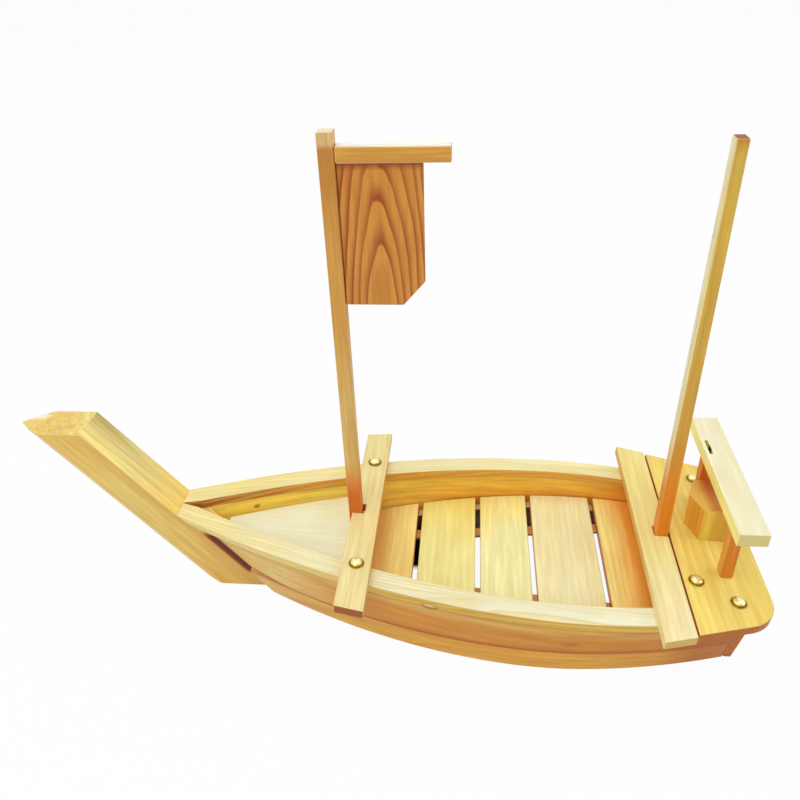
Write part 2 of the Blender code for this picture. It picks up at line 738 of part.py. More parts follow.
# Mast sockets and notches, cut straight down with a clearance round the pole
hole_width = MAST_SECTION + 2 * MAST_CLEARANCE
for mast, (step, beam), slack in (
    (front_mast, (foredeck, front_beam), NOTCH_SLACK),
    (rear_mast, (floor[-1], rear_beam), 0),
):
    foot = mast.location.z - FIT_GAP
    top = RAIL_TOP.z(FRONT_BEAM_STATION) + 2 * BEAM_THICKNESS
    socket_size = (hole_width, hole_width, FOREDECK_DROP)
    socket_place = (mast.location.x, 0, foot + FOREDECK_DROP / 2)
    socket = add_cutter(mast.name + "_socket", box_mesh(mast.name + "_socket", socket_size), socket_place)
    cut(step, socket)
    notch_size = (hole_width + slack, hole_width, top - foot)
    notch_place = (mast.location.x + slack / 2, 0, (foot + top) / 2)
    notch = add_cutter(mast.name + "_notch", box_mesh(mast.name + "_notch", notch_size), notch_place)
    cut(beam, notch)

tack = tack_mesh()
tack.materials.append(BRASS)
tack_rows = (
    (FRONT_BEAM_MIDDLE, rail_tack(FRONT_BEAM_MIDDLE), rail_tack(FRONT_BEAM_MIDDLE)),
    (BEARER_TACK_STATION, BEARER_TACK_PORT, BEARER_TACK_STARBOARD),
    (DECK_AFT_TACK, rail_tack(DECK_AFT_TACK), rail_tack(DECK_AFT_TACK)),
)
tack_number = 0
for (station, port, starboard), boards in zip(tack_rows, ((front_beam,), (deck, stern_bearer), (deck,))):
    for y, cap in ((-port, port_cap), (starboard, starboard_cap)):
        tack_number += 1
        below = boards if stern_bearer in boards else (*boards, cap)
        add_tack(tack_number, tack, station, y, below)
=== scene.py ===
# %% [markdown]
# # A wooden sushi boat
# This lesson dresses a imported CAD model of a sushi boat: a pine serving boat with two
# lift-out masts. The solids already have the right size and joints, so Blender's work is
# the look of the real thing: planed boards with grain, sanded edges, domed brass tacks,
# light and a camera.

# %% Load the solids
import json
import math

import bmesh
import bpy
import numpy as np
from mathutils import Matrix, Vector

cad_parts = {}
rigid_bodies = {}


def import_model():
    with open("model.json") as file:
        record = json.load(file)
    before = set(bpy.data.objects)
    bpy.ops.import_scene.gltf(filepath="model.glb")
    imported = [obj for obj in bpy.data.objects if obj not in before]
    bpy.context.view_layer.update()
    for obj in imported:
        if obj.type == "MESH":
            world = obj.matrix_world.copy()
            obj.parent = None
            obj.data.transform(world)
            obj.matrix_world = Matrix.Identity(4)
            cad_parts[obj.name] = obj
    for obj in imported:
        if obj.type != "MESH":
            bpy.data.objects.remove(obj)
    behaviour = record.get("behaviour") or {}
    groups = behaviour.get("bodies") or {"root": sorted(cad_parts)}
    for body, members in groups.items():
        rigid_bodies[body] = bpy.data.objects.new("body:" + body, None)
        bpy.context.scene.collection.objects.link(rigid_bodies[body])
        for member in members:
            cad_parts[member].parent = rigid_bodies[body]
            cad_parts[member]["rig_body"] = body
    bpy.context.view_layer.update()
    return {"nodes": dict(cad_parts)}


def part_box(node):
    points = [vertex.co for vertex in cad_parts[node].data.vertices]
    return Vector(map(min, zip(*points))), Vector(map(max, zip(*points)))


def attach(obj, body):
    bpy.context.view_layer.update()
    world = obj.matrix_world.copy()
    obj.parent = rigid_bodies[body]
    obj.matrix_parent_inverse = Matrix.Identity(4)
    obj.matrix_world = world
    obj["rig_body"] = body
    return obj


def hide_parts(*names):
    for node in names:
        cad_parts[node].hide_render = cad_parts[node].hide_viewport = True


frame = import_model()

# %% [markdown]
# ## The camera
# The boat is seen from its port side, well above the rail and almost square on. A camera is a
# place, two angles that aim it, a roll, and a focal length. A Track To constraint could aim
# it but not roll it, so the three directions of its matrix are written out of those angles.

# %% Camera
PICTURE = 800
FOCAL_PIXELS = 769.515
SENSOR = 36
NEAREST = 0.01
TURN, DIP, ROLL = math.radians(6.1311), math.radians(32.7694), math.radians(-2.2486)
EYE = Vector((0.064069, -0.458873, 0.473256))

camera_data = bpy.data.cameras.new("camera")
camera_data.sensor_fit = "HORIZONTAL"
camera_data.sensor_width = SENSOR
camera_data.lens = SENSOR * FOCAL_PIXELS / PICTURE
camera_data.clip_start = NEAREST
camera = bpy.data.objects.new("camera", camera_data)
bpy.context.scene.collection.objects.link(camera)
bpy.context.scene.camera = camera

ahead = Vector((-math.sin(TURN) * math.cos(DIP), math.cos(TURN) * math.cos(DIP), -math.sin(DIP)))
level = Vector((math.cos(TURN), math.sin(TURN), 0))
upright = level.cross(ahead)
right = level * math.cos(ROLL) + upright * math.sin(ROLL)
up = upright * math.cos(ROLL) - level * math.sin(ROLL)
camera.matrix_world = Matrix.Translation(EYE) @ Matrix((right, up, -ahead)).transposed().to_4x4()
print("lens", round(camera_data.lens, 2), "mm")

# %% [markdown]
# ## Shader maths as Python
# A grain pattern is a sum of distances, waves and noise. Clicking Math nodes together would
# take pages, so one small class wraps a socket: adding two wires adds a Math node. Its node
# method makes any node from its type, its settings and what goes into its sockets.

# %% A wire between nodes
class Wire:
    """One output of a node tree."""

    def __init__(self, tree, socket=None):
        self.tree = tree
        self.socket = socket

    def node(self, kind, settings=None, inputs=None, output=0):
        made = self.tree.nodes.new(kind)
        for name, value in (settings or {}).items():
            if name == "stops":
                set_stops(made.color_ramp.elements, value)
            else:
                setattr(made, name, value)
        for name, value in (inputs or {}).items():
            if isinstance(value, Wire):
                self.tree.links.new(value.socket, made.inputs[name])
            else:
                made.inputs[name].default_value = value
        return Wire(self.tree, made.outputs[output] if made.outputs else None)

    def math(self, operation, *terms):
        return self.node("ShaderNodeMath", {"operation": operation}, dict(enumerate(terms)))

    def __add__(self, other):
        return self.math("ADD", self, other)

    __radd__ = __add__

    def __mul__(self, other):
        return self.math("MULTIPLY", self, other)

    __rmul__ = __mul__

    def __sub__(self, other):
        return self.math("SUBTRACT", self, other)

    def __rsub__(self, other):
        return self.math("SUBTRACT", other, self)

    def __truediv__(self, other):
        return self.math("DIVIDE", self, other)

    def __pow__(self, other):
        return self.math("POWER", self, other)


# %% Ramp stops and new materials
def set_stops(elements, stops):
    """Fill a colour ramp. A stop is a place, and a grey value or a colour."""
    while len(elements) < len(stops):
        elements.new(1)
    for element, (place, shade) in zip(list(elements), stops):
        element.position = place
        element.color = tone(shade) if isinstance(shade, str) else (shade, shade, shade, 1)


def new_material(name):
    """An empty material, and a wire to start drawing in it."""
    material = bpy.data.materials.new(name)
    material.use_nodes = True
    material.node_tree.nodes.clear()
    return material, Wire(material.node_tree)


# %% Colours, mixes and noise
MIX_SHARE, MIX_FIRST, MIX_SECOND = 0, 6, 7
MIX_RESULT = 2
WHITE = (1, 1, 1, 1)


def tone(code):
    """A colour written as on a paint chart, in the linear values that a shader takes."""
    parts = [int(code[i:i + 2], 16) / 255 for i in (0, 2, 4)]
    return [p / 12.92 if p <= 0.04045 else ((p + 0.055) / 1.055) ** 2.4 for p in parts] + [1]


def mix(share, first, second, blend="MIX"):
    settings = {"data_type": "RGBA", "clamp_factor": True, "blend_type": blend}
    inputs = {MIX_SHARE: share, MIX_FIRST: first, MIX_SECOND: second}
    return share.node("ShaderNodeMix", settings, inputs, MIX_RESULT)


def noise(place, stretch, shift, detail):
    """Noise whose blobs are 1 / stretch metres long in each direction of the board."""
    settings = {"operation": "MULTIPLY_ADD"}
    spread = place.node("ShaderNodeVectorMath", settings, {0: place, 1: stretch, 2: shift})
    return spread.node("ShaderNodeTexNoise", None, {"Vector": spread, "Scale": 1, "Detail": detail})


def ramp(value, *stops):
    return value.node("ShaderNodeValToRGB", {"stops": stops}, {"Fac": value})


def axis_of(vector, axis):
    return vector.node("ShaderNodeSeparateXYZ", None, {0: vector}, axis)


def fade(value, start, finish):
    """0 up to start and 1 past finish, with an even slope between them."""
    limits = {"Value": value, "From Min": start, "From Max": finish}
    return value.node("ShaderNodeMapRange", None, limits)


print("white is", tone("FFFFFF"))

# %% [markdown]
# ## Pine
# A board shows the rings of the log that it was sawn from. A picture of grain would repeat
# from board to board, so the log itself is built in the shader: the distance from its heart,
# counted in rings, gives pale spring wood that darkens towards a line of summer wood. Where
# the heart lies under the face the rings make arches, and far off to one side they make
# straight lines. The core of a log has no rings. Each board stores its own place in its log,
# as the attribute "board": along the grain, across the face and through the thickness.

# %% Rings
RING_PROFILE = ((0, 0.35), (0.07, 0.02), (0.5, 0.1), (0.8, 0.55), (0.95, 1), (1, 0.35))
# Blobs of noise to the metre, along, across and through, and how far they push the rings
SWAY, SWAY_REACH = (9, 40, 40), 0.006
SWELL, SWELL_REACH = (14, 60, 60), 0.004
DRIFT, DRIFT_RINGS = (3, 30, 30), 1.4


def summer_wood(place, shift, ring, heart, lean, wander, profile, core):
    """How dark the ring is at a place in the log, from 0 in spring wood to 1 in summer wood."""
    along, across, through = (axis_of(place, axis) for axis in "XYZ")
    sway = noise(place, SWAY, shift, 1) - 0.5
    swell = noise(place, SWELL, shift[::-1], 2) - 0.5
    u = across - heart[0] - along * lean[0] + sway * (SWAY_REACH * wander)
    v = through - heart[1] - along * lean[1] + swell * (SWELL_REACH * wander)
    radius = u.math("MAXIMUM", (u * u + v * v) ** 0.5, core)
    count = radius / ring + noise(place, DRIFT, shift, 1) * (DRIFT_RINGS * wander)
    return ramp(count.math("FRACT", count), *profile)


print("ring profile has", len(RING_PROFILE), "stops")

# %% [markdown]
# Real boards aren't even in colour. Sap, sun and handling leave broad washes, a knot leaves a
# dark eye, and dirt darkens some edges. Many washes here are painted shade instead, under and
# between parts, and a few are painted light on faces that catch more of it. A wash here is a
# colour, how strong it gets, and one or more slopes that it comes in over: along a direction of
# the boat or of the board, or over the faces that look one way ("nX", "nY", "nZ"). Painted
# shade that has to hide the grain is a wash laid over it. A mark is an ellipsoid of colour, for a
# knot, a painted highlight or the painted shade inside a slot: its centre, its radii, the share
# of it that fades, its colour and how strong it gets.

# %% Washes and marks
BOARD_AXES = {"along": "X", "across": "Y", "through": "Z"}
RAGGED = 0.7


def washed(colour, wash, sources, rough):
    shade, share, *slopes = wash
    for source, start, finish in slopes:
        kind = "turn" if source[0] == "n" else "board" if source in BOARD_AXES else "spot"
        value = axis_of(sources[kind], BOARD_AXES.get(source, source[-1]))
        if kind != "turn":
            value = value + rough * ((finish - start) * RAGGED)
        share = fade(value, start, finish) * share
    return mix(share, colour, tone(shade))


def marked(colour, mark, point):
    centre, radii, soft, shade, amount = mark
    offset = point.node("ShaderNodeVectorMath", {"operation": "SUBTRACT"}, {0: point, 1: centre})
    scaled = offset.node("ShaderNodeVectorMath", {"operation": "DIVIDE"}, {0: offset, 1: radii})
    reach = scaled.node("ShaderNodeVectorMath", {"operation": "LENGTH"}, {0: scaled}, "Value")
    return mix(fade(reach, 1, 1 - soft) * amount, colour, tone(shade))


print("directions of a board:", ", ".join(BOARD_AXES))

# %% [markdown]
# On top of the rings, planed pine has streaks, fine fibres and pores. Each is noise drawn out
# along the grain, and only the stretch differs, so they share one helper. Broad noise gives
# patches of warmer wood. The same fibres and rings drive a little bump and roughness.

# %% Layers of the finish
X, Y, Z = Vector((1, 0, 0)), Vector((0, 1, 0)), Vector((0, 0, 1))
# Blobs of noise to the metre, along, across and through
STRENGTH = (5, 90, 90)
STREAK = (20, 300, 300)
FIBRE = (28, 1300, 1300)
PORE = (95, 2600, 2600)
BROAD = (14, 26, 26)
WEAR = (60, 200, 200)
# Where a layer starts to count and where it counts in full
PORE_STOPS = ((0.62, 0), (0.74, 1))
PATCH_STOPS = ((0.42, 0), (0.68, 1))
LEVEL_STOPS = ((0.35, 0), (0.9, 1))
SAWN_STOPS = ((0.75, 0), (0.97, 1))
# Colours and shares that every board has in common
PATCH, PATCH_SHARE = "F8E6C4", 0.5
PALE_FIBRE = (1.3, 1.28, 1.15, 1)
DARK_STREAK, PALE_STREAK = 1.6, -2.2
RING_SHARE, RING_LEAST = 0.9, 0.35
FIBRE_MIDDLE, FIBRE_SHARE = 0.45, 0.5
PORE_SHARE = 0.14
SAWN_SHARE = 0.9
WEAR_SHARE = 0.5
BUMP, BUMP_DEPTH = 0.35, 0.0004
GLOSS = 0.35
print("finest pores:", PORE[1], "to the metre across the grain")


# %% The pine finish
def pine(name, face, flank, line, seed, ring=0.0042, heart=(0.02, 0.06), lean=(0, 0), depth=0.4,
         grain=X, end=None, edge="F4E3B0", wander=1, streak=1, profile=RING_PROFILE, core=0,
         washes=(), painted_shades=(), marks=()):
    material, start = new_material(name)
    shift = (seed * 3.7, seed * 5.1, seed * 2.3)
    place = start.node("ShaderNodeAttribute", {"attribute_name": "board"}, output="Vector")
    spot = start.node("ShaderNodeTexCoord", output="Object")
    normal = start.node("ShaderNodeTexCoord", output="Normal")
    sources = {"board": place, "spot": spot, "turn": normal}

    summer = summer_wood(place, shift, ring, heart, lean, wander, profile, core)
    strength = noise(place, STRENGTH, shift[::-1], 1)
    streaks = noise(place, STREAK, shift, 2) - 0.5
    fibre = noise(place, FIBRE, shift, 3)
    pores = ramp(noise(place, PORE, shift, 1), *PORE_STOPS)
    broad = noise(place, BROAD, shift[::-1], 2)
    patches = ramp(broad, *PATCH_STOPS)

    # Level faces have a colour of their own, apart from the flanks: partly the board's face grain,
    # and partly painted light, paler where light falls from above and darker on the flanks.
    height = axis_of(normal, "Z")
    lit_level_face = ramp(height.math("ABSOLUTE", height), *LEVEL_STOPS)
    colour = mix(lit_level_face, tone(flank), tone(face))
    for wash in washes:
        colour = washed(colour, wash, sources, broad - 0.5)
    colour = mix(patches * PATCH_SHARE, colour, tone(PATCH), "MULTIPLY")
    colour = mix(streaks * (DARK_STREAK * streak), colour, tone(line))
    colour = mix(streaks * (PALE_STREAK * streak), colour, PALE_FIBRE, "MULTIPLY")
    colour = mix(summer * depth * (strength * RING_SHARE + RING_LEAST), colour, tone(line))
    colour = mix((fibre - FIBRE_MIDDLE) * FIBRE_SHARE, colour, tone(line))
    colour = mix(pores * PORE_SHARE, colour, tone(line))

    # Sawn ends, painted shade, marks and worn edges lie over the grain.
    settings = {"operation": "DOT_PRODUCT"}
    facing = normal.node("ShaderNodeVectorMath", settings, {0: normal, 1: grain}, "Value")
    sawn = ramp(facing.math("ABSOLUTE", facing), *SAWN_STOPS)
    colour = mix(sawn * SAWN_SHARE, colour, tone(end or line))
    for painted_shade in painted_shades:
        colour = washed(colour, painted_shade, sources, broad - 0.5)
    for mark in marks:
        colour = marked(colour, mark, spot)
    worn = start.node("ShaderNodeAttribute", {"attribute_name": "edge"}, output="Fac")
    colour = mix(worn * noise(place, WEAR, shift, 2) * WEAR_SHARE, colour, tone(edge))

    relief = fibre * 0.6 + summer * 0.5 - pores * 0.4
    bump_inputs = {"Strength": BUMP, "Distance": BUMP_DEPTH, "Height": relief}
    skin = start.node("ShaderNodeBsdfPrincipled", None, {
        "Base Color": colour,
        "Roughness": 0.44 + fibre * 0.14 - summer * 0.05,
        "Normal": start.node("ShaderNodeBump", None, bump_inputs),
        "Specular IOR Level": GLOSS,
    })
    start.node("ShaderNodeOutputMaterial", None, {"Surface": skin})
    return material


# %% [markdown]
# ## Turning a solid into a planed board
# A CAD solid is loose triangles. Modelling each board again would risk another size, so a copy
# is merged and its flat faces joined. A face is then one polygon, and the sanded edges can be
# found: they are the long narrow faces. Smooth shading with weighted normals rolls the light
# round them. The solid stays hidden inside for MuJoCo, and the board rides on the same body.

# %% Places in the log
def straight(along, across):
    """Board places for a straight stick: the same turn for every point."""
    through = along.cross(across)

    def place(point, middle):
        offset = point - middle
        return Vector((offset.dot(along), offset.dot(across), offset.dot(through)))

    return place


# %% Planing
MERGE = 1e-6
FLAT = math.radians(0.4)
NARROW = 0.0013
SMOOTH_ANGLE = math.radians(52)


def stand_for(piece, node, slot):
    """Put a finished piece in the scene in place of its solid."""
    bpy.context.scene.collection.objects.link(piece)
    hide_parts(node)
    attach(piece, frame["nodes"][node]["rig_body"])


def planed(node, place, finish, slot):
    low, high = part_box(node)
    bm = bmesh.new()
    bm.from_mesh(frame["nodes"][node].data)
    bmesh.ops.remove_doubles(bm, verts=bm.verts, dist=MERGE)
    bmesh.ops.dissolve_limit(bm, angle_limit=FLAT, verts=bm.verts, edges=bm.edges)
    board = bm.verts.layers.float_vector.new("board")
    for vert in bm.verts:
        vert[board] = place(vert.co, (low + high) / 2)
    edge = bm.faces.layers.float.new("edge")
    for face in bm.faces:
        longest = max(e.calc_length() for e in face.edges)
        face[edge] = float(face.calc_area() / longest < NARROW)
        face.smooth = True
    mesh = bpy.data.meshes.new(f"{node}.planed")
    bm.to_mesh(mesh)
    bm.free()
    mesh.set_sharp_from_angle(angle=SMOOTH_ANGLE)
    mesh.materials.append(finish)
    piece = bpy.data.objects.new(f"{node}.planed", mesh)
    weighted = piece.modifiers.new("rolled edges", "WEIGHTED_NORMAL")
    weighted.keep_sharp = True
    stand_for(piece, node, slot)
    return piece


print("faces under", NARROW * 1000, "mm wide count as sanded edges")

# %% [markdown]
# ## The stem
# The bow is one thick raked piece of pine, sawn square and left golden. Its grain runs up the
# rake, and a log laid along the boat would cut across it, so the board's own directions are
# turned to the rake. The face that looks aft is painted brighter than the sides, as light from
# above and aft, and the sides darken towards it. At the port bow a joint stands open, and the
# part of the stem inside it is painted dark as shade, as dark as the inside of the hull. A painted
# highlight sits on the tip.

# %% Stem
RAKE = math.radians(38)
# Where on the stem the painted shade inside the open joint at the port bow lies
OPEN_JOINT_SHADE = (("Y", -0.001, -0.004), ("Z", 0.0130, 0.0165), ("Z", 0.058, 0.053))
# A painted highlight on the top of the stem at its tip
TIP_HIGHLIGHT = ((-0.268, 0.008, 0.15), (0.013, 0.006, 0.012), 0.6, "FBF2D2", 0.8)
# The face that looks aft gets painted light, yellower lower down
lit_aft_face = ("nX", 0.3, 0.6)
up_the_rake = Vector((-math.sin(RAKE), 0, math.cos(RAKE)))
across_the_rake = Vector((math.cos(RAKE), 0, math.sin(RAKE)))
stem_pine = pine(
    "stem pine", "E7CC76", "E9CC74", "CE9A44", seed=1, ring=0.0062, heart=(0.06, 0.03), depth=0.3,
    grain=up_the_rake, end="F0D58A",
    washes=(("E8BC64", 0.6, ("Z", 0.06, 0.02)),
            ("D9AA54", 0.6, ("across", 0.004, 0.014)),
            ("FFEE98", 1, lit_aft_face),
            ("FFDC70", 0.8, lit_aft_face, ("Z", 0.125, 0.085))),
    # Painted shade inside the open joint, darkest deep in it
    painted_shades=(("A04008", 0.95, ("across", 0.0176, 0.0194), *OPEN_JOINT_SHADE),
            ("641800", 0.9, ("across", 0.0188, 0.0215), *OPEN_JOINT_SHADE)),
    marks=(TIP_HIGHLIGHT,))
stem = planed("stem_post", straight(up_the_rake, across_the_rake), stem_pine, "golden_pine")
print(stem.name, len(stem.data.polygons), "faces")

# %% [markdown]
# ## The sides
# Each side is two planks bent round the hull, with a cap on top. Bent wood keeps its grain
# along the bend, so a straight log would cut across it. The boards' places are straightened
# instead: each point is measured from the curve of the plank's own outer face.

# %% Bent planks
SHEER = math.radians(3.3)
STATIONS = 28
WINDOW = 0.02
CURVE_DEGREE = 5


def bent(node, follow=1.0, sheer=math.tan(SHEER)):
    """Board places for a plank bent sideways: across is measured from its own outer curve."""
    points = np.array([v.co for v in frame["nodes"][node].data.vertices])
    stations = np.linspace(points[:, 0].min(), points[:, 0].max(), STATIONS)
    reach = []
    for station in stations:
        near = np.abs(points[:, 0] - station) < WINDOW
        reach.append(np.abs(points[near, 1]).max())
    curve = np.polyfit(stations, reach, CURVE_DEGREE)

    def place(point, middle):
        side = abs(point.y) - follow * float(np.polyval(curve, point.x))
        return Vector((point.x, side, point.z + point.x * sheer - middle.z))

    return place


print("the rail falls", round(math.degrees(SHEER), 1), "degrees towards the stern")

# %% Lower planks
SIDES = (("port", -1), ("starboard", 1))
DIRT = "B06A1C"
for side, out in SIDES:
    node = f"lower_plank_{side}"
    finish = pine(
        f"lower plank pine {side}", "FFF0C4", "E8B246", "BE7020", seed=4 + out, ring=0.006,
        heart=(0.03, -0.02), depth=0.45, edge=DIRT,
        washes=(("E7C270", 0.8, ("X", -0.03, -0.1)),
                # Painted shade: darker at the stern below the deck, and the inside, seen through
                # the floor slots, near black
                ("C07410", 1, ("X", 0.205, 0.230)),
                ("2A1408", 1, ("nY", -0.4 * out, -0.9 * out))))
    planed(node, bent(node, sheer=0), finish, "side_pine")
print("lower planks:", len(SIDES))

# %% [markdown]
# The inside of an upper plank is golden, paler at the bow, with painted shade: redder where the
# beams shade it, and darker at its foot by the floor. Its outside is browner; the gap between
# the two is painted light, for the light that bounces onto the inside off the floor. It has a tan
# band under the cap and a painted shadow line where it laps the plank below. Two materials would
# need a seam, so those washes come in only over the face that looks outwards. Both planks are
# painted darkest at the stern, as shade below the deck.

# %% Upper planks
# Inside washes, with painted shade: darker at the foot by the floor, and redder towards the stern
# under the rear beam
GOLDEN_WALL_AND_SHADE = (("F2AC3C", 0.7, ("Z", 0.045, 0.036)), ("C87A24", 0.8, ("Z", 0.033, 0.030)),
               ("E88A30", 0.7, ("X", 0.16, 0.21)), ("FADC66", 0.7, ("X", 0.05, 0.0)),
               ("F4DC5E", 1, ("X", -0.03, -0.05)))
BOW_KNOT = ((-0.1102, 0.0185, 0.0564), (0.0034, 0.006, 0.0022), 0.6, "9A5A10", 0.85)
SAP = ((0.138, -0.092, 0.033), (0.009, 0.02, 0.004), 0.8, "A85A28", 0.5)
# One knot lies across the port plank and its cap: a brown eye with a pale heart
KNOT = (((0.0384, -0.0825, 0.0557), (0.0078, 0.006, 0.0040), 0.35, "A88030", 0.85),
        ((0.0384, -0.0825, 0.0564), (0.0056, 0.006, 0.0024), 0.5, "E8CC80", 0.9))
for side, out in SIDES:
    node = f"upper_plank_{side}"
    outward = ("nY", 0.3 * out, 0.8 * out)
    finish = pine(
        f"upper plank pine {side}", "F9CE50", "F9CE50", "C06E20", seed=7 + out, ring=0.007,
        heart=(0.03, 0.03), depth=0.35, edge="D4AC5C",
        washes=(*GOLDEN_WALL_AND_SHADE,
                # Browner outside: against the golden inside, painted light for the light bounced
                # off the floor into the hull
                ("D7963C", 1, outward),
                ("E8CC78", 0.95, outward, ("X", -0.02, -0.07)),
                ("D08A30", 0.7, outward, ("X", 0.12, 0.2)),
                ("DCB464", 0.9, outward, ("through", 0.004, 0.010)),
                # Painted shade below the stern deck, and a painted shadow line along the lap
                ("B06808", 0.9, outward, ("X", 0.200, 0.225)),
                ("B4560C", 0.9, outward, ("Z", 0.0272, 0.0242))),
        marks=(BOW_KNOT, SAP, *KNOT))
    planed(node, bent(node), finish, "side_pine")
print("upper planks:", len(SIDES))

# %% Caps
CAP_FACES = {"port": "F0EED2", "starboard": "F1E9BA"}
CAP_FOLLOW = 0.9
for side, out in SIDES:
    node = f"gunwale_cap_{side}"
    inward = ("nY", -0.4 * out, -0.9 * out)
    outward = ("nY", 0.4 * out, 0.9 * out)
    finish = pine(
        f"cap pine {side}", CAP_FACES[side], "E0C068", "E4CE70", seed=10 + out, ring=0.0026,
        heart=(0.05, -0.03), depth=0.9, edge="F9EFC8",
        washes=(("EEDC94", 0.8, ("X", 0.0, -0.12)),
                # Outside as pale as the top towards the bow: painted light on the eased edge there.
                # Inside darker and redder at the bow: partly its sawn edge, partly painted shade
                # under the cap's edge
                ("D7A43D", 1, outward, ("X", -0.05, 0.02)),
                ("E19B30", 1, inward),
                ("B04414", 0.9, inward, ("X", -0.03, -0.13))),
        marks=KNOT)
    planed(node, bent(node, CAP_FOLLOW), finish, "pale_pine")
print("caps:", len(SIDES))

# %% [markdown]
# ## Decks, floor and beams
# Everything that lies across the boat is a short flat board with its grain running athwart. The
# foredeck and the two battens under the floor run fore and aft. One finish for all of them
# would look sawn from one plank, so each board has its own colours and its own seed for the
# noise. The floor slats are painted darker towards the two beams, as shade under them.

# %% Foredeck
fore_and_aft = straight(X, Y)
athwart = straight(Y, X)
planed("foredeck_panel", fore_and_aft, pine(
    "foredeck pine", "F0F2D0", "D9A452", "E8DCA4", seed=12, ring=0.006, depth=0.25,
    streak=0.5), "pale_pine")
# The bearer is painted dark as shade under the front beam
planed("foredeck_bearer", athwart, pine(
    "shaded bearer pine", "D9A050", "C88840", "A86430", seed=13, grain=Y, edge=DIRT), "golden_pine")
print("foredeck: a panel and its bearer")

# %% Floor slats and battens
# How a slat was sawn: the log's heart, its lean and the width of a ring
QUARTER_SAWN = ((0.05, -0.03), (0.02, 0), 0.005)
FLAT_SAWN = ((0.002, -0.012), (0, -0.1), 0.0042)
# Colours of face, flank and ring lines, the sawing, and one wash
SLATS = (
    # Slats 1 and 5 get painted shade towards the front and rear beam
    ("FBE892", "E8A850", "E4B45C", QUARTER_SAWN, ("E68C36", 0.9, ("X", 0.003, -0.014))),
    ("F2ECA0", "E8B75C", "E6CC64", QUARTER_SAWN, ("F4E070", 0.7, ("Y", 0.0, 0.06))),
    ("F3F0B2", "E8BD68", "E6CC70", FLAT_SAWN, ("F4E484", 0.7, ("Y", 0.02, 0.06))),
    ("F5EEB8", "E8BB68", "E8CC90", QUARTER_SAWN, ("F4E2A0", 0.5, ("X", 0.15, 0.17))),
    ("FAE68C", "E2984A", "E0A450", QUARTER_SAWN, ("F6A236", 0.95, ("X", 0.180, 0.200))),
)
for number, (face, flank, line, (heart, lean, ring), wash) in enumerate(SLATS):
    planed(f"floor_slat_{number + 1}", athwart, pine(
        f"slat {number + 1} pine", face, flank, line, seed=14 + number, ring=ring, heart=heart,
        lean=lean, depth=0.32, grain=Y, wander=1.5, washes=(wash,)), "pale_pine")
for number, (side, _) in enumerate(SIDES):
    planed(f"floor_batten_{side}", fore_and_aft, pine(
        f"batten pine {side}", "EAB46C", "C88A48", "C58B45", seed=20 + number), "golden_pine")
print("slats:", len(SLATS), "battens:", len(SIDES))

# %% Beams, transom and stern deck
WHITE_END = ("F6F0C6", 0.9, ("Y", -0.02, -0.08))
# Node, colours of face, flank, ring lines and sawn ends, slot, and washes
BEAMS = (
    ("front_crossbeam", "ECDFA0", "D9A858", "E2B45C", "964402", "pale_pine", ()),
    ("rear_crossbeam", "F0E498", "DDAE58", "E4C468", "D3AC46", "pale_pine", (WHITE_END,)),
    ("stern_deck", "F1DC74", "B66006", "E0B04A", "B66006", "pale_pine", ()),
    ("stern_bearer", "EFD494", "D69A4E", "C58B45", "C58B45", "golden_pine", ()),
    ("transom_board", "EBC88A", "D9A055", "B9692B", "BC6206", "side_pine", ()),
)
for number, (node, face, flank, line, end, slot, washes) in enumerate(BEAMS):
    planed(node, athwart, pine(
        f"{node} pine", face, flank, line, seed=24 + number, heart=(0.03, -0.05), depth=0.4,
        grain=Y, end=end, washes=washes), slot)
print("beams and boards at the stern:", len(BEAMS))

# %% [markdown]
# ## Rack and bitt at the stern
# A small rack of two posts and a pale crossbar stands over the stern deck, with a mooring bitt
# in front of it. The one slot in the crossbar is a dark recess. Soft light from all round would
# fill so small a slot, so its walls are marked dark.

# %% Rack
upwards = straight(Z, X)
SLOT_DARK = ((0.2449, 0.028, 0.1157), (0.0016, 0.0092, 0.03), 0.15, "5A3210", 1)
# Side, colour of the flanks and colour of the face towards port. The starboard post is painted
# darker than the port one, darkest on its face towards port, as shade under the crossbar.
POSTS = (("port", "E8A840", "E0842C"), ("starboard", "E08420", "E86C14"))
for number, (side, flank, port_face) in enumerate(POSTS):
    planed(f"rack_post_{side}", upwards, pine(
        f"rack post pine {side}", "E8B968", flank, "B96A30", seed=31 + number, grain=Z,
        edge="E8BE80", washes=((port_face, 0.9, ("nY", -0.4, -0.9)),)), "mast_pine")
planed("rack_crossbar", athwart, pine(
    "crossbar pine", "F1F0D2", "FFF898", "F0E0A0", seed=33, ring=0.005, depth=0.3, grain=Y,
    end="DCCB84", marks=(SLOT_DARK,)), "pale_pine")
print("rack posts:", len(POSTS))

# %% Bitt
shaded_top = ("nZ", 0.5, 0.9)
bitt_pine = pine(
    "bitt pine", "E5B853", "EED85A", "C88A3C", seed=34, grain=Z, end="E5B853", edge="EAC272",
    washes=(("E7AB35", 1, ("nX", -0.5, -0.9)),
            # Painted shadow of the crossbar: on the near face at its aft end, and on the top at the
            # back and far side
            ("E0B04C", 0.8, ("nY", -0.4, -0.9), ("X", 0.244, 0.252))),
    painted_shades=(("C87A28", 0.9, shaded_top, ("X", 0.242, 0.249)),
            ("B0480C", 0.8, shaded_top, ("Y", 0.006, 0.022), ("X", 0.236, 0.248))))
bitt = planed("stern_bitt", upwards, bitt_pine, "golden_pine")
print(bitt.name, len(bitt.data.polygons), "faces")

# %% [markdown]
# ## Masts and flag
# The masts are square sticks of darker wood, reddest at the foot. The flag is a thin board
# sawn close to the heart of its log, so its rings stand as tall arches. Arches could be drawn
# as curves, but the log makes them by itself once its heart is in the right place: it crosses
# behind the board low down and leans away towards the top.

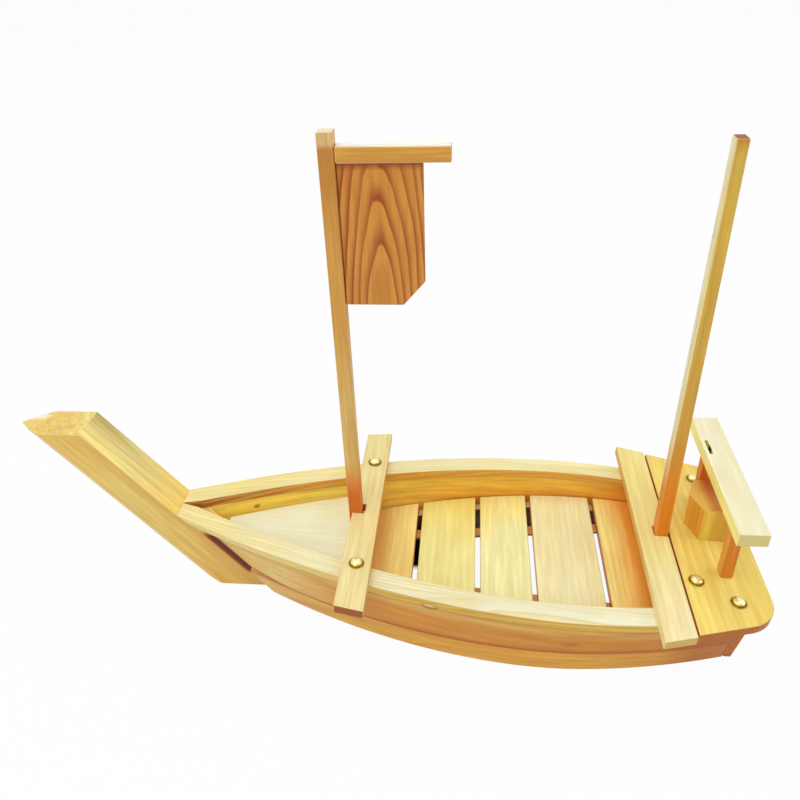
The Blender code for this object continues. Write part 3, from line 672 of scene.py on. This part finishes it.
# %% Masts
planed("front_mast", upwards, pine(
    "front mast pine", "E4DCB2", "D8A24C", "BE7A38", seed=35, heart=(0.03, 0.02), depth=0.35,
    grain=Z, end="E4DCB2", edge="DDB470",
    washes=(("C28230", 0.85, ("Z", 0.28, 0.33)),
            ("DFC274", 0.9, ("Z", 0.24, 0.17)),
            ("DE6810", 0.95, ("Z", 0.125, 0.09)),
            ("EFD9A0", 0.7, ("Z", 0.3535, 0.3565)))), "mast_pine")
planed("rear_mast", upwards, pine(
    "rear mast pine", "8E3A14", "D9BA50", "C08A38", seed=36, heart=(0.03, 0.03), depth=0.3,
    grain=Z, end="8E3A14", edge="EAD08A",
    washes=(("D59B3A", 0.8, ("Z", 0.30, 0.14)),
            ("C8701C", 0.8, ("Z", 0.349, 0.357)),
            # The face towards the bow is painted paler, as light falling from that side
            ("EDE8BC", 1, ("nX", -0.4, -0.9)),
            ("EE8A14", 0.9, ("Z", 0.15, 0.09)))), "mast_pine")
print("front and rear mast planed")

# %% Yard and flag
FLAG_PROFILE = ((0, 0.1), (0.04, 0.9), (0.12, 1), (0.34, 0.55), (0.6, 0.1), (1, 0.02))
YARD_SHADOW = ("8E4A1C", 0.8, ("Z", 0.3405, 0.3445))
planed("flag_yard", fore_and_aft, pine(
    "yard pine", "F8FBEC", "DBA243", "C4813A", seed=37, depth=0.5, end="DDB066",
    streak=1.6), "mast_pine")
planed("flag_board", upwards, pine(
    "flag pine", "D9A55C", "DA9A40", "A03E0A", seed=38, ring=0.0042, heart=(-0.0015, 0.0110),
    lean=(0, 0.162), depth=1, grain=Z, edge="C88A48", wander=1.4, streak=0.6,
    profile=FLAG_PROFILE, core=0.0102, washes=(YARD_SHADOW,)), "flag_pine")
print("flag rings have", len(FLAG_PROFILE), "stops")

# %% [markdown]
# ## Brass tacks
# Six domed upholstery tacks hold the beams and the deck. A squashed sphere would be quicker,
# but it has no rim. A tack is a body of revolution, so half of its outline is drawn once, with
# a groove and a rolled rim round the dome, and spun about its axis. The tacks stand square to
# the rail, which falls towards the stern.

# %% Tack heads
HEAD = 0.0056
DOME_TOP = 0.003
DOME_RADIUS, DOME_FOOT = 0.0046, 0.0008
DOME_STEPS = 10
# Distances from the axis and heights above the underside of the head
RIM = ((0.00475, 0.00045), (0.0050, 0.00042), (0.0053, 0.00062), (0.00552, 0.0005),
       (0.00558, 0.0002), (0.0054, 0))
PIN = ((0.001, 0), (0.001, -0.0122), (0, -0.0124))
SPIN_STEPS = 48
square_to_rail = Matrix.Rotation(SHEER, 4, "Y")
plumb = square_to_rail @ Z


def tack_outline():
    bend = [math.radians(90 / DOME_STEPS * i) for i in range(DOME_STEPS + 1)]
    rise = DOME_TOP - DOME_FOOT
    dome = [(DOME_RADIUS * math.sin(a), DOME_FOOT + rise * math.cos(a)) for a in bend]
    return (*dome, *RIM, *PIN)


def turned_tack(node, finish):
    top = max((v.co for v in frame["nodes"][node].data.vertices), key=plumb.dot)
    bm = bmesh.new()
    outline = [bm.verts.new((r, 0, z)) for r, z in tack_outline()]
    edges = [bm.edges.new(pair) for pair in zip(outline, outline[1:])]
    bmesh.ops.spin(bm, geom=outline + edges, cent=(0, 0, 0), axis=Z, angle=math.tau,
                   steps=SPIN_STEPS, use_merge=True)
    bmesh.ops.remove_doubles(bm, verts=bm.verts, dist=MERGE)
    bmesh.ops.recalc_face_normals(bm, faces=bm.faces)
    rim = bm.verts.layers.float.new("rim")
    for vert in bm.verts:
        vert[rim] = vert.co.xy.length / HEAD
    place = Matrix.Translation(top - plumb * DOME_TOP) @ square_to_rail
    bmesh.ops.transform(bm, matrix=place, verts=bm.verts)
    for face in bm.faces:
        face.smooth = True
    mesh = bpy.data.meshes.new(f"{node}.turned")
    bm.to_mesh(mesh)
    bm.free()
    mesh.set_sharp_from_angle(angle=SMOOTH_ANGLE)
    mesh.materials.append(finish)
    stand_for(bpy.data.objects.new(f"{node}.turned", mesh), node, "brass")
    return mesh


print("tack outline has", len(tack_outline()), "points")

# %% [markdown]
# Polished brass shows what is round it. The top of a dome mirrors the white studio, and its
# rim mirrors the wood beside it and holds old polish. A plain metal would leave all of that to
# the lamps, so the colour itself carries painted reflections as well: pale at the top of the
# dome, and darker towards the rim.

# %% Brass
# From the axis to the rim: painted reflection of the white studio at the top, darker towards the
# rim for painted reflection of the wood and its old polish
BRASS_AND_REFLECTION_STOPS = ((0, "FCF6D6"), (0.5, "F7EAB0"), (0.72, "CDB458"), (0.86, "7A5E1C"), (1, "A88838"))
CLOUD, CLOUD_SHIFT = (420, 420, 420), (3, 1, 2)
SPECK, SPECK_SHIFT = (2600, 2600, 2600), (1, 2, 3)
TARNISH, TARNISH_SHARE = "B89848", 0.4
TARNISH_STOPS = ((0.4, 0), (0.75, 1))
TACKS = 6


def brass():
    material, start = new_material("tack brass")
    place = start.node("ShaderNodeTexCoord", output="Object")
    rim = start.node("ShaderNodeAttribute", {"attribute_name": "rim"}, output="Fac")
    cloud = noise(place, CLOUD, CLOUD_SHIFT, 3)
    specks = noise(place, SPECK, SPECK_SHIFT, 2)
    tarnish = ramp(cloud, *TARNISH_STOPS)
    metal = ramp(rim + (cloud - 0.5) * 0.12, *BRASS_AND_REFLECTION_STOPS)
    bump_inputs = {"Strength": 0.15, "Distance": 0.0001, "Height": specks}
    skin = start.node("ShaderNodeBsdfPrincipled", None, {
        "Base Color": mix(tarnish * TARNISH_SHARE, metal, tone(TARNISH)),
        "Metallic": 1,
        "Roughness": 0.28 + tarnish * 0.14,
        "Normal": start.node("ShaderNodeBump", None, bump_inputs),
    })
    start.node("ShaderNodeOutputMaterial", None, {"Surface": skin})
    return material


tack_brass = brass()
for number in range(1, TACKS + 1):
    tack = turned_tack(f"tack_{number}", tack_brass)
print("tacks:", TACKS, "with", len(tack.polygons), "faces each")

# %% [markdown]
# ## Floor, light and finish
# The boat stands on a plain white studio floor. Stronger lamps would whiten the floor but bleach
# the wood as well, so the floor mostly shines white towards the camera, with a share of ordinary
# diffuse white that keeps the boat's shadow. Under the fore part of the boat, where no light
# gets in, it has no glow and is only diffuse, and its colour is painted dark as shade. Broad soft
# lamps stand overhead and in front, and weaker ones at the two ends.

# %% Floor
FLOOR_REACH = 8
bm = bmesh.new()
bmesh.ops.create_grid(bm, x_segments=1, y_segments=1, size=FLOOR_REACH)
floor_mesh = bpy.data.meshes.new("floor")
bm.to_mesh(floor_mesh)
bm.free()
floor = bpy.data.objects.new("floor", floor_mesh)
bpy.context.scene.collection.objects.link(floor)
print("floor:", 2 * FLOOR_REACH, "metres wide")

# %% Floor finish
FLOOR_WHITE = 0.96
MATT_WHITE = "E8E8E8"
SHADE = "302010"
# The painted shade along X and along Y: where it begins, is full, starts to fade and ends
SHADE_X = (-0.006, 0, 0.040, 0.046)
SHADE_Y = (0.008, 0.014, 0.046, 0.052)


def between(value, begins, full, fades, ends):
    return fade(value, begins, full) * fade(value, ends, fades)


def seen(start):
    """1 where the camera sees a surface, straight or in a reflection."""
    camera_ray, glossy, through = (
        start.node("ShaderNodeLightPath", output=kind)
        for kind in ("Is Camera Ray", "Is Glossy Ray", "Is Transmission Ray")
    )
    return camera_ray.math("MAXIMUM", camera_ray, glossy.math("MAXIMUM", glossy, through))


studio_floor, start = new_material("studio floor")
ground = start.node("ShaderNodeTexCoord", output="Object")
shade = between(axis_of(ground, "X"), *SHADE_X) * between(axis_of(ground, "Y"), *SHADE_Y)
matt_colour = mix(shade, tone(MATT_WHITE), tone(SHADE))
matt = start.node("ShaderNodeBsdfDiffuse", None, {"Color": matt_colour})
glow = start.node("ShaderNodeEmission", None, {"Color": WHITE, "Strength": 1})
share = seen(start) * FLOOR_WHITE * (1 - shade)
surface = start.node("ShaderNodeMixShader", None, {0: share, 1: matt, 2: glow})
start.node("ShaderNodeOutputMaterial", None, {"Surface": surface})
floor_mesh.materials.append(studio_floor)
print("the floor shines", FLOOR_WHITE, "towards the camera")

# %% World
SKY = 0.5
world = bpy.data.worlds.new("studio")
bpy.context.scene.world = world
world.use_nodes = True
world.node_tree.nodes.clear()
start = Wire(world.node_tree)
sky = start.node("ShaderNodeBackground", None, {"Color": WHITE, "Strength": SKY})
backdrop = start.node("ShaderNodeBackground", None, {"Color": WHITE, "Strength": 1})
surface = start.node("ShaderNodeMixShader", None, {0: seen(start), 1: sky, 2: backdrop})
start.node("ShaderNodeOutputWorld", None, {"Surface": surface})
print("sky strength", SKY)

# %% Lamps
# Name, place, what it aims at, size in metres and power in watts
LAMPS = (
    ("overhead lamp", (-0.1, 0.15, 1.6), (0.02, 0, 0.05), 1.6, 8),
    ("front lamp", (-0.45, -1.15, 1.25), (0, 0, 0.05), 1.1, 8.4),
    ("stern lamp", (1.5, 0.1, 0.9), (-0.1, 0, 0.1), 1.0, 5.4),
    ("bow lamp", (-1.5, 0.0, 0.8), (0.1, 0, 0.1), 1.0, 4),
)
for name, place, target, size, power in LAMPS:
    data = bpy.data.lights.new(name, "AREA")
    data.size = size
    data.energy = power
    lamp = bpy.data.objects.new(name, data)
    lamp.location = place
    lamp.rotation_euler = (Vector(target) - Vector(place)).to_track_quat("-Z", "Y").to_euler()
    bpy.context.scene.collection.objects.link(lamp)
print("lamps:", len(LAMPS))

# %% Finish
bpy.context.scene.view_settings.view_transform = "Standard"
